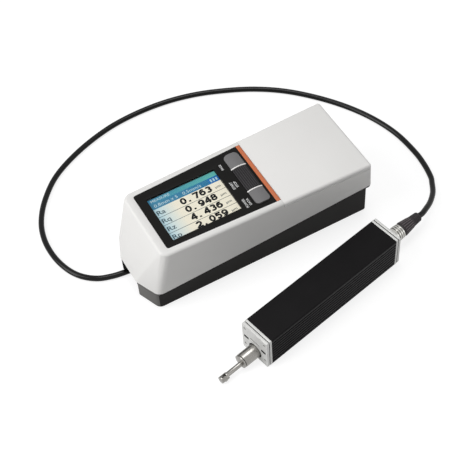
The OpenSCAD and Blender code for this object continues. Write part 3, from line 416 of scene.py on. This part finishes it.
def grip_ridges(name, start, along):
    """Ridges on a boot that tapers from start in a direction, each with a foot and a narrower crown, in a
    lighter rubber that paints a highlight on them.
    """
    up = Vector((0, 0, 1))
    aside = along.cross(up)
    bm = bmesh.new()
    for k in range(GRIP_COUNT):
        angle = 2 * math.pi * k / GRIP_COUNT
        outward = up * math.cos(angle) + aside * math.sin(angle)
        across = along.cross(outward) * GRIP_HALF
        ends = []
        for x, radius in GRIP_ENDS:
            foot = start + along * x + outward * (radius - GRIP_ROOT)
            crown = start + along * x + outward * (radius + GRIP_RISE)
            inset = across * GRIP_CROWN
            corners = (foot - across, foot + across, crown + inset, crown - inset)
            ends.append([bm.verts.new(p * MM) for p in corners])
        first, last = ends
        bm.faces.new(first[::-1])
        bm.faces.new(last)
        for i in range(4):
            j = (i + 1) % 4
            bm.faces.new((first[i], first[j], last[j], last[i]))
    return new_piece(name, bm, [RUBBER_GRIP_HIGHLIGHT], ROOT, sharp=30)


for end in ("plug", "bay_plug"):
    dress(end + "_ring", CHROME, edge=0.12)
    dress(end + "_boot", RUBBER, edge=0.12)
drive_boot = TO_TABLE @ Vector((BOOT_END - BOOT_L, 0, PLUG_Z))
bay_boot = BAY_END + Vector((BOOT_L, 0, 0))
grip_ridges("plug_boot_grip", drive_boot, (DRIVE_END - drive_boot).normalized())
grip_ridges("bay_plug_boot_grip", bay_boot, (BAY_END - bay_boot).normalized())

# Drive unit. In its own frame: the front plate's two slots and thin groove, painted near black as painted
# shade, and the seams beside the flanges, painted mid grey as painted shade
PLATE_FACE = -3.95
SLOT_B, SLOT_HALF_B = 7.8, 2.2
SLOT_Z, SLOT_HALF_Z = 13.7, 1.3
SLOT_FLOOR = -2.4
GROOVE_HALF_B = 4.4
GROOVE_Z, GROOVE_HALF_Z = 16.2, 0.5
GROOVE_FLOOR = -3.3
SEAM_NEAR, SEAM_FAR = 1.65, 2.25


def in_seam(past_end):
    """Whether a face this far past the case's end lies in the seam between flange and plate."""
    return SEAM_NEAR < past_end < SEAM_FAR


def front_plate_painted_shade(centre, normal):
    """1 for a face inside one of the front plate's slots or its groove (painted shade), 2 for its seam
    (painted shade), else 0.
    """
    a, b, z = TO_DRIVE @ centre
    by_slot = abs(abs(b) - SLOT_B) < SLOT_HALF_B and abs(z - SLOT_Z) < SLOT_HALF_Z
    by_groove = abs(b) < GROOVE_HALF_B and abs(z - GROOVE_Z) < GROOVE_HALF_Z
    if (by_slot and PLATE_FACE < a < SLOT_FLOOR) or (by_groove and PLATE_FACE < a < GROOVE_FLOOR):
        return 1
    return 2 if in_seam(-a) else 0


def rear_plate_painted_shade(centre, normal):
    """1 for a face in the rear plate's seam, painted mid grey as painted shade, else 0."""
    return in_seam((TO_DRIVE @ centre).x - DRIVE_L)


dress("drive_case", CASE, edge=0.12)
for node in ("front_flange", "rear_flange"):
    dress(node, PLATE, edge=0.2)
# Slots and groove get near black painted shade, the seam a mid grey painted shade
dress("front_plate", PLATE, edge=0.08, others=[SEAL_AND_SLOT_SHADE, SEAM_SHADE], pick=front_plate_painted_shade)
dress("rear_plate", PLATE, edge=0.08, others=[SEAM_SHADE], pick=rear_plate_painted_shade)
dress("plate_screws", STEEL, edge=0.12)
dress("drive_socket", STEEL, edge=0.15)
dress("detector_bush", SEAL_AND_SLOT_SHADE, edge=0.15)
dress("detector_tube", STEEL, edge=0.25)
dress("detector_nose", STEEL, edge=0.25)
for node in ("stylus", "pivot_pin", "guide_rods", "lead_screw", "motor"):
    paint(node, STEEL)
for node in ("carriage", "motor_mount"):
    paint(node, PLATE)
paint("sensor_coil", COIL)
paint("gearbox", BRASS)
paint("drive_board", BOARD)

# Flat plates and lettering: CAP_SHARE is a capital's height as a share of the font's size
CAP_SHARE = 0.7
WORD_DEPTH = 0.02


def plates(name, boxes, mat, body=ROOT):
    """Flat boxes as one piece: x0, x1, y0, y1, z0 and z1 of each, in mm."""
    bm = bmesh.new()
    for x0, x1, y0, y1, z0, z1 in boxes:
        corners = bmesh.ops.create_cube(bm, size=1.0)["verts"]
        bmesh.ops.scale(bm, vec=Vector((x1 - x0, y1 - y0, z1 - z0)) * MM, verts=corners)
        bmesh.ops.translate(bm, vec=Vector((x0 + x1, y0 + y1, z0 + z1)) * MM / 2, verts=corners)
    return new_piece(name, bm, [mat], body)


def words(name, items, mat, z, weight, body=ROOT, wide=1.0, align="LEFT", turn=0):
    """Flat lettering at height z: the text, its capitals' height and its place x, y for each item, in mm."""
    bm = bmesh.new()
    shape = Matrix.Rotation(math.radians(turn), 4, "Z") @ Matrix.Diagonal((wide, 1, 1, 1))
    for text, height, x, y in items:
        curve = bpy.data.curves.new("word", "FONT")
        curve.body = text
        curve.size = height * MM / CAP_SHARE
        curve.align_x = align
        curve.extrude = WORD_DEPTH * MM
        curve.offset = weight * MM
        curve.resolution_u = 8
        curve_into(bm, curve, Matrix.Translation(Vector((x, y, z)) * MM) @ shape)
    return new_piece(name, bm, [mat], body)


# Bold figures of strokes FIG_T wide in a cell FIG_W wide and 1 high: each stroke is a closed flag and points
FIG_W, FIG_T = 0.77, 0.25
FIG_L, FIG_R = FIG_T / 2, FIG_W - FIG_T / 2
FIG_B, FIG_U = FIG_T / 2, 1 - FIG_T / 2
FIG_C, FIG_RX = FIG_W / 2, FIG_W / 2 - FIG_T / 2
FIG_FLATNESS = 0.06


def arc(x, y, rx, ry, start, end, steps=18):
    angles = [math.radians(start + (end - start) * k / steps) for k in range(steps + 1)]
    return [(x + rx * math.cos(a), y + ry * math.sin(a)) for a in angles]


def oval(y, ry, rx=FIG_RX):
    """Closed stroke round the cell's middle line."""
    return True, arc(FIG_C, y, rx, ry, 0, 345, 23)


def stroke(*points):
    """Open stroke."""
    return False, points


def turned_over(strokes):
    return [(closed, [(FIG_W - x, 1 - y) for x, y in points]) for closed, points in strokes]


WAIST = 0.53
UPPER, LOWER = (FIG_U - WAIST) / 2, (WAIST - FIG_B) / 2
SIX = [oval(FIG_B + 0.24, 0.24),
       stroke(*arc(FIG_C + 0.03, 0.5, FIG_RX + 0.03, FIG_U - 0.5, 48, 180), (FIG_L, FIG_B + 0.24))]
FIGURES = {
    "0": [oval(0.5, 0.5 - FIG_B)],
    "2": [stroke(*arc(FIG_C, FIG_U - 0.23, FIG_RX, 0.23, 165, -38), (FIG_L + 0.06, FIG_B + 0.06)),
          stroke((0, FIG_B), (FIG_W, FIG_B))],
    "3": [stroke(*arc(FIG_C, WAIST + UPPER, FIG_RX * 0.93, UPPER, 150, -90)),
          stroke(*arc(FIG_C, FIG_B + LOWER, FIG_RX, LOWER, 90, -150))],
    "4": [stroke((FIG_R - 0.1, 0), (FIG_R - 0.1, 1)),
          stroke((FIG_R - 0.12, FIG_U + 0.04), (FIG_L - 0.02, 0.34)),
          stroke((0, 0.3), (FIG_W, 0.3))],
    "5": [stroke((FIG_W - 0.05, FIG_U), (0.06, FIG_U)),
          stroke((FIG_L + 0.06, FIG_U + 0.05), (FIG_L + 0.02, 0.48)),
          stroke(*arc(FIG_C, FIG_B + 0.245, FIG_RX, 0.245, 140, -150))],
    "6": SIX,
    "7": [stroke((0, FIG_U), (FIG_W, FIG_U)), stroke((FIG_R, FIG_U + 0.02), (FIG_L + 0.16, 0))],
    "8": [oval(WAIST + UPPER, UPPER, FIG_RX * 0.9), oval(FIG_B + LOWER, LOWER)],
    "9": turned_over(SIX),
    ".": [stroke((FIG_C, 0), (FIG_C, 0.22))],
}


def figures(name, items, mat, z, height):
    """Bold figures at height z: the figure and the place x, y of its cell's corner for each item, in mm."""
    bm = bmesh.new()
    size = Matrix.Diagonal((height * MM, height * MM, FIG_FLATNESS * height * MM, 1))
    for figure, x, y in items:
        curve = bpy.data.curves.new("figure", "CURVE")
        curve.dimensions = "3D"
        curve.bevel_depth = FIG_T / 2
        curve.bevel_resolution = 2
        curve.use_fill_caps = True
        for closed, points in FIGURES[figure]:
            stroke_into(curve, [(*p, 0) for p in points], closed)
        curve_into(bm, curve, Matrix.Translation(Vector((x, y, z)) * MM) @ size)
    return new_piece(name, bm, [mat], ROOT, sharp=60)


# Screen picture: thin films on the screen module, inside the window's edges
window_low, window_high = box_of("screen_window")
PICTURE_X0, PICTURE_X1 = window_low.x + 0.05, window_high.x - 0.05
PICTURE_BOTTOM, PICTURE_TOP = window_low.y + 0.05, window_high.y - 0.25
STATUS_Y, ROW_TOP, ROW_PITCH = 13.5, 8.6, 7.33
PICTURE_Z = box_of("screen_module")[1].z + 0.01
FIELD_TOP = PICTURE_Z + 0.02
TITLE_TOP = PICTURE_Z + 0.025
LINE_TOP = PICTURE_Z + 0.03
BADGE_TOP = PICTURE_Z + 0.035
MARK_TOP = PICTURE_Z + 0.045
TEXT_Z = PICTURE_Z + 0.05
LINE_HALF = 0.17
BADGE_GAP = 0.1
MARK_X, MARK_W, MARK_PITCH = -16.2, 1.2, 2
MARK_FOOT, MARK_HEAD = ROW_TOP + 1.2, ROW_TOP + 3.6
FIGURE_H, FIGURE_PITCH = 5.4, 4.5
HEAD_X, POINT_X, TAIL_X = -41, -37, -31.6
FIGURE_FOOT = 1.4
NAME_H, NAME_X, NAME_RISE = 3.6, -58.4, 0.4
UNIT_H, UNIT_X, UNIT_RISE = 1.9, -16.2, 1
READINGS = (("Ra", "0.763"), ("Rq", "0.948"), ("Rz", "4.436"), ("Rp", "2.059"))

plates("screen_field", [(PICTURE_X0, PICTURE_X1, PICTURE_BOTTOM, ROW_TOP, PICTURE_Z, FIELD_TOP)], FIELD)
plates("screen_status_bar", [(PICTURE_X0, PICTURE_X1, STATUS_Y, PICTURE_TOP, PICTURE_Z, FIELD_TOP)], STATUS)
plates("screen_title_bar", [(PICTURE_X0, PICTURE_X1, ROW_TOP, STATUS_Y, PICTURE_Z, TITLE_TOP)], TITLE)
plates("screen_badge",
       [(BADGE_X0, BADGE_X1, ROW_TOP + BADGE_GAP, STATUS_Y - BADGE_GAP, FIELD_TOP, BADGE_TOP)], BADGE)
marks = [MARK_X + MARK_PITCH * k for k in range(3)]
plates("screen_badge_marks", [(x, x + MARK_W, MARK_FOOT, MARK_HEAD, LINE_TOP, MARK_TOP) for x in marks],
       SCREEN_WHITE)
row_lines = [ROW_TOP - ROW_PITCH * k for k in range(1, len(READINGS))]
plates("screen_row_lines",
       [(PICTURE_X0, PICTURE_X1, y - LINE_HALF, y + LINE_HALF, FIELD_TOP, LINE_TOP) for y in row_lines],
       LINE)
digits = []
names = []
units = []
for row, (label, value) in enumerate(READINGS):
    foot = ROW_TOP - (row + 1) * ROW_PITCH + FIGURE_FOOT
    head, tail = value.split(".")
    digits += [(head, HEAD_X, foot), (".", POINT_X, foot)]
    digits += [(digit, TAIL_X + FIGURE_PITCH * i, foot) for i, digit in enumerate(tail)]
    names.append((label, NAME_H, NAME_X, foot + NAME_RISE))
    units.append(("µm", UNIT_H, UNIT_X, foot + UNIT_RISE))
figures("screen_digits", digits, INK, TEXT_Z, FIGURE_H)
words("screen_names", names, SOFT_INK, TEXT_Z, weight=0.06, wide=1.15)
words("screen_units", units, SOFT_INK, TEXT_Z, weight=0.04, wide=1.2)
title_words = [("MEASURE", 2, -57.6, 14.4), ("0.8mm x 5", 2.4, -57, 9.9), ("0.5mm/s", 2.4, -36.5, 9.9)]
words("screen_title", title_words, SCREEN_WHITE, TEXT_Z, weight=0.03, wide=1.15)

# Legends beside the key bar, running along it
LEGEND_Z = box_of("bezel")[1].z
legend_words = [("PAGE", 1.5, -4.3, 16.1), ("START", 1.6, -5.5, -1.2), ("STOP", 1.6, -2.9, -1.2),
                ("POWER", 1.6, -5.5, -18.1), ("DATA", 1.6, -2.9, -18.1)]
words("key_legends", legend_words, LEGEND, LEGEND_Z, weight=0.05, align="CENTER", turn=90)

# Fine ribs along the middle key, on the round crown of the key bar; they are raised, and their lighter grey
# than the key is a painted highlight
BAR_HALF, CROWN = 5.5, 1
CROWN_R = (BAR_HALF ** 2 + CROWN ** 2) / (2 * CROWN)
RIB_COUNT, RIB_X, RIB_PITCH, RIB_HALF = 7, -0.1, 1.4, 0.2
RIB_ROOT, RIB_RISE, RIB_GAP = 0.15, 0.1, 0.4
middle_low, middle_high = box_of("middle_key")
bar_x = (middle_low.x + middle_high.x) / 2
ribs = []
for i in range(RIB_COUNT):
    x = RIB_X + RIB_PITCH * i
    z = middle_high.z - CROWN_R + math.sqrt(CROWN_R ** 2 - (x - bar_x) ** 2)
    ribs.append((x - RIB_HALF, x + RIB_HALF, middle_low.y + RIB_GAP, middle_high.y - RIB_GAP, z - RIB_ROOT,
                 z + RIB_RISE))
plates("middle_key_ribs", ribs, KEY_RIB_HIGHLIGHT, "middle_key")

# Marks on the keypad's keys
ARROW_R, ARROW_T, ARROW_LIFT = 1.5, 0.06, 0.02
KEY_TEXT_H, KEY_TEXT_DROP, KEY_TEXT_LIFT = 1.5, 0.75, 0.01


def top_of(node):
    """Middle of a CAD solid's top, in mm."""
    low, high = box_of(node)
    return Vector(((low.x + high.x) / 2, (low.y + high.y) / 2, high.z))


for key, angle in (("cursor_up_key", 90), ("cursor_down_key", 270), ("cursor_left_key", 180),
                   ("cursor_right_key", 0)):
    place = top_of(key) + Vector((0, 0, ARROW_LIFT))
    bm = bmesh.new()
    arrow = bmesh.ops.create_cone(bm, cap_ends=True, segments=3, radius1=ARROW_R * MM, radius2=ARROW_R * MM,
                                  depth=ARROW_T * MM)
    spin = Matrix.Rotation(math.radians(angle), 4, "Z")
    bmesh.ops.transform(bm, matrix=Matrix.Translation(place * MM) @ spin, verts=arrow["verts"])
    new_piece(key + "_mark", bm, [LEGEND], key)
for key, text in (("enter_key", "ENT"), ("menu_key", "MENU"), ("page_key", "PAGE"), ("escape_key", "ESC")):
    top = top_of(key)
    words(key + "_mark", [(text, KEY_TEXT_H, top.x + KEY_TEXT_DROP, top.y)], LEGEND, top.z + KEY_TEXT_LIFT,
          weight=0.03, body=key, align="CENTER", turn=90)

# Floor and world: white where a ray shows them, weaker where they only light the part. Lengths in m
FLOOR_HALF, FLOOR_CELLS = 6, 8
FLOOR_LIT, FLOOR_SEEN = 0.55, 0.3
GLOW_NEAR, GLOW_FAR = 0.4, 1.2
GLOW_LOW, GLOW_HIGH = 0.8, 1.0
WORLD_LIT, WORLD_SEEN = 0.3, 1.0


def ray_sees(tree):
    """1 for a ray that shows the background: from the camera, off a glossy face or through glass."""
    path = tree.nodes.new("ShaderNodeLightPath")
    seen = path.outputs["Is Camera Ray"]
    for kind in ("Is Glossy Ray", "Is Transmission Ray"):
        either = tree.nodes.new("ShaderNodeMath")
        either.operation = "MAXIMUM"
        tree.links.new(seen, either.inputs[0])
        tree.links.new(path.outputs[kind], either.inputs[1])
        seen = either.outputs[0]
    return seen


def diffuse(tree, level):
    node = tree.nodes.new("ShaderNodeBsdfDiffuse")
    node.inputs["Color"].default_value = (level, level, level, 1)
    return node.outputs[0]


def floor_material():
    """Shown as a shaded face with a glow that rises away from the part, so that the shadow stays."""
    material = bpy.data.materials.new("floor_white")
    material.use_nodes = True
    tree = material.node_tree
    tree.nodes.clear()
    away = tree.nodes.new("ShaderNodeVectorMath")
    away.operation = "LENGTH"
    tree.links.new(object_place(tree), away.inputs[0])
    level = spread(tree, away.outputs["Value"], GLOW_LOW, GLOW_HIGH, GLOW_NEAR, GLOW_FAR)
    glow = tree.nodes.new("ShaderNodeEmission")
    tree.links.new(level, glow.inputs["Strength"])
    shown = tree.nodes.new("ShaderNodeAddShader")
    tree.links.new(diffuse(tree, FLOOR_SEEN), shown.inputs[0])
    tree.links.new(glow.outputs[0], shown.inputs[1])
    mix = tree.nodes.new("ShaderNodeMixShader")
    tree.links.new(ray_sees(tree), mix.inputs["Fac"])
    tree.links.new(diffuse(tree, FLOOR_LIT), mix.inputs[1])
    tree.links.new(shown.outputs[0], mix.inputs[2])
    out = tree.nodes.new("ShaderNodeOutputMaterial")
    tree.links.new(mix.outputs[0], out.inputs["Surface"])
    return material


bm = bmesh.new()
bmesh.ops.create_grid(bm, x_segments=FLOOR_CELLS, y_segments=FLOOR_CELLS, size=FLOOR_HALF)
floor_mesh = bpy.data.meshes.new("floor")
bm.to_mesh(floor_mesh)
bm.free()
floor_mesh.materials.append(floor_material())
floor = bpy.data.objects.new("floor", floor_mesh)
bpy.context.collection.objects.link(floor)

world = bpy.data.worlds.new("studio")
bpy.context.scene.world = world
world.use_nodes = True
world_tree = world.node_tree
backdrop = world_tree.nodes["Background"]
backdrop.inputs["Color"].default_value = (1, 1, 1, 1)
world_level = spread(world_tree, ray_sees(world_tree), WORLD_LIT, WORLD_SEEN)
world_tree.links.new(world_level, backdrop.inputs["Strength"])


# Lights
def area(name, place, target, size, power):
    """Rectangular lamp at a place, aimed at a target, in m and W."""
    data = bpy.data.lights.new(name, "AREA")
    data.shape = "RECTANGLE"
    data.size, data.size_y = size
    data.energy = power
    lamp = bpy.data.objects.new(name, data)
    bpy.context.collection.objects.link(lamp)
    lamp.location = place
    lamp.rotation_euler = (Vector(target) - Vector(place)).to_track_quat("-Z", "Y").to_euler()


area("key", place=(-1.1, 0.2, 0.95), target=(0, 0, 0), size=(0.9, 1.1), power=11)
area("top", place=(0.1, 0.15, 1.5), target=(0, 0, 0), size=(0.65, 0.65), power=7)
area("left", place=(-1.2, 0.05, 0.3), target=(-0.08, 0, 0.03), size=(0.5, 0.3), power=2.5)
area("right", place=(0.75, -0.7, 0.35), target=(0.05, -0.02, 0.02), size=(0.5, 0.5), power=0.9)
